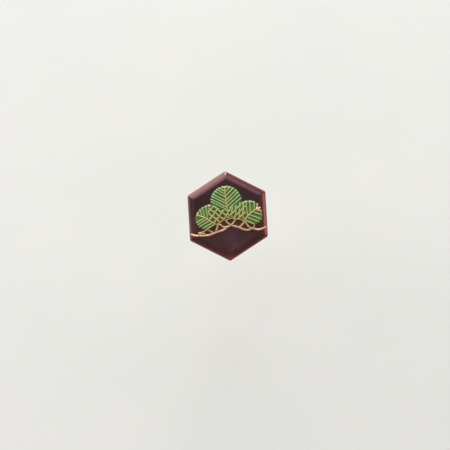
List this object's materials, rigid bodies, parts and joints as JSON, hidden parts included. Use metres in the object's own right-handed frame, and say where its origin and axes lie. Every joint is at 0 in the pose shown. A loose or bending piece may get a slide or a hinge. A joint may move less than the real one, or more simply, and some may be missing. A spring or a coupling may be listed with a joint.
{
  "type": "tie tack",
  "caption": "Hexagonal lacquer tie tack with a gold-lined pine-bough motif, post, locking ball clutch, safety chain and T-bar.",
  "frame": {"origin": "on the post's axis, on the rear face of the back plate, where the tie's cloth lies", "axes": "+Z out of the decorated face, +Y to the top of the motif, +X to the motif's right; the clutch, chain and T-bar lie along -Z"},
  "size_m": [0.015, 0.0172, 0.0348],
  "materials": {
    "tile_lacquer": "deep translucent red-brown lacquer, polished",
    "pad_lacquer": "raised green lacquer, satin",
    "gold_line": "fine gold lines, satin",
    "adhesive": "clear epoxy bond",
    "gilt_brass": "gilt brass, polished, light wear",
    "post_steel": "fine turned steel",
    "hard_steel": "hardened steel, bright",
    "spring_steel": "drawn spring wire",
    "solder": "soft solder, smooth"
  },
  "bodies": {
    "tack": {"hex_tile": "tile_lacquer", "pine_pad_centre": "pad_lacquer", "pine_pad_left": "pad_lacquer", "pine_pad_right": "pad_lacquer", "pine_pad_base": "pad_lacquer", "needles_centre": "gold_line", "needles_left": "gold_line", "needles_right": "gold_line", "needle_net": "gold_line", "branch_line": "gold_line", "adhesive_layer": "adhesive", "back_plate": "gilt_brass", "post": "post_steel", "solder_fillet": "solder"},
    "eyelet": {"needle_eyelet": "gilt_brass"},
    "clutch": {"clutch_flange": "gilt_brass", "clutch_cover": "gilt_brass", "cone_race": "hard_steel", "clutch_spring": "spring_steel", "chain_loop": "gilt_brass"},
    "plunger": {"ball_cage": "hard_steel", "pull_knob": "gilt_brass"},
    "ball_1": {"ball_1": "hard_steel"},
    "ball_2": {"ball_2": "hard_steel"},
    "ball_3": {"ball_3": "hard_steel"},
    "upper_ring": {"jump_ring_upper": "gilt_brass"},
    "link_1": {"chain_link_1": "gilt_brass"},
    "link_2": {"chain_link_2": "gilt_brass"},
    "link_3": {"chain_link_3": "gilt_brass"},
    "link_4": {"chain_link_4": "gilt_brass"},
    "link_5": {"chain_link_5": "gilt_brass"},
    "link_6": {"chain_link_6": "gilt_brass"},
    "link_7": {"chain_link_7": "gilt_brass"},
    "link_8": {"chain_link_8": "gilt_brass"},
    "lower_ring": {"jump_ring_lower": "gilt_brass"},
    "bar": {"t_bar": "gilt_brass"}
  },
  "joints": [
    {"name": "clutch_slide", "type": "slide", "parent": "tack", "child": "eyelet", "axis": [0, 0, -1], "range_m": [-0.0022, 0.007]},
    {"name": "clutch_spin", "type": "hinge", "parent": "eyelet", "child": "clutch", "pos_m": [0, 0, -0.00325], "axis": [0, 0, 1], "continuous": true},
    {"name": "knob_pull", "type": "slide", "parent": "clutch", "child": "plunger", "axis": [0, 0, -1], "range_m": [0, 0.0007], "stiffness_N_per_m": 1000, "deforming": ["clutch_spring"]},
    {"name": "ball_1_release", "type": "slide", "parent": "plunger", "child": "ball_1", "axis": [0, 1, 0], "range_m": [0, 0.00025]},
    {"name": "ball_2_release", "type": "slide", "parent": "plunger", "child": "ball_2", "axis": [-0.866, -0.5, 0], "range_m": [0, 0.00025]},
    {"name": "ball_3_release", "type": "slide", "parent": "plunger", "child": "ball_3", "axis": [0.866, -0.5, 0], "range_m": [0, 0.00025]},
    {"name": "upper_ring_swing", "type": "hinge", "parent": "clutch", "child": "upper_ring", "pos_m": [0, -0.0052, -0.00675], "axis": [0, 1, 0], "range_deg": [-60, 60]},
    {"name": "link_1_swing", "type": "hinge", "parent": "upper_ring", "child": "link_1", "pos_m": [0, -0.0052, -0.00822], "axis": [-1, 0, 0], "range_deg": [-10, 60]},
    {"name": "link_2_swing", "type": "hinge", "parent": "link_1", "child": "link_2", "pos_m": [0, -0.0052, -0.01042], "axis": [0, -1, 0], "range_deg": [-60, 60]},
    {"name": "link_3_swing", "type": "hinge", "parent": "link_2", "child": "link_3", "pos_m": [0, -0.0052, -0.01265], "axis": [1, 0, 0], "range_deg": [-60, 60]},
    {"name": "link_4_swing", "type": "hinge", "parent": "link_3", "child": "link_4", "pos_m": [0, -0.0052, -0.01488], "axis": [0, 1, 0], "range_deg": [-60, 60]},
    {"name": "link_5_swing", "type": "hinge", "parent": "link_4", "child": "link_5", "pos_m": [0, -0.0052, -0.01711], "axis": [-1, 0, 0], "range_deg": [-60, 60]},
    {"name": "link_6_swing", "type": "hinge", "parent": "link_5", "child": "link_6", "pos_m": [0, -0.0052, -0.01934], "axis": [0, -1, 0], "range_deg": [-60, 60]},
    {"name": "link_7_swing", "type": "hinge", "parent": "link_6", "child": "link_7", "pos_m": [0, -0.0052, -0.02157], "axis": [1, 0, 0], "range_deg": [-60, 60]},
    {"name": "link_8_swing", "type": "hinge", "parent": "link_7", "child": "link_8", "pos_m": [0, -0.0052, -0.0238], "axis": [0, 1, 0], "range_deg": [-60, 60]},
    {"name": "lower_ring_swing", "type": "hinge", "parent": "link_8", "child": "lower_ring", "pos_m": [0, -0.0052, -0.02603], "axis": [-1, 0, 0], "range_deg": [-60, 60]},
    {"name": "bar_tilt", "type": "hinge", "parent": "lower_ring", "child": "bar", "pos_m": [0, -0.0052, -0.02753], "axis": [0, -1, 0], "range_deg": [-85, 85]}
  ],
  "couplings": [
    {"joint": "ball_1_release", "follows": "knob_pull", "ratio": 0.35},
    {"joint": "ball_2_release", "follows": "knob_pull", "ratio": 0.35},
    {"joint": "ball_3_release", "follows": "knob_pull", "ratio": 0.35}
  ]
}
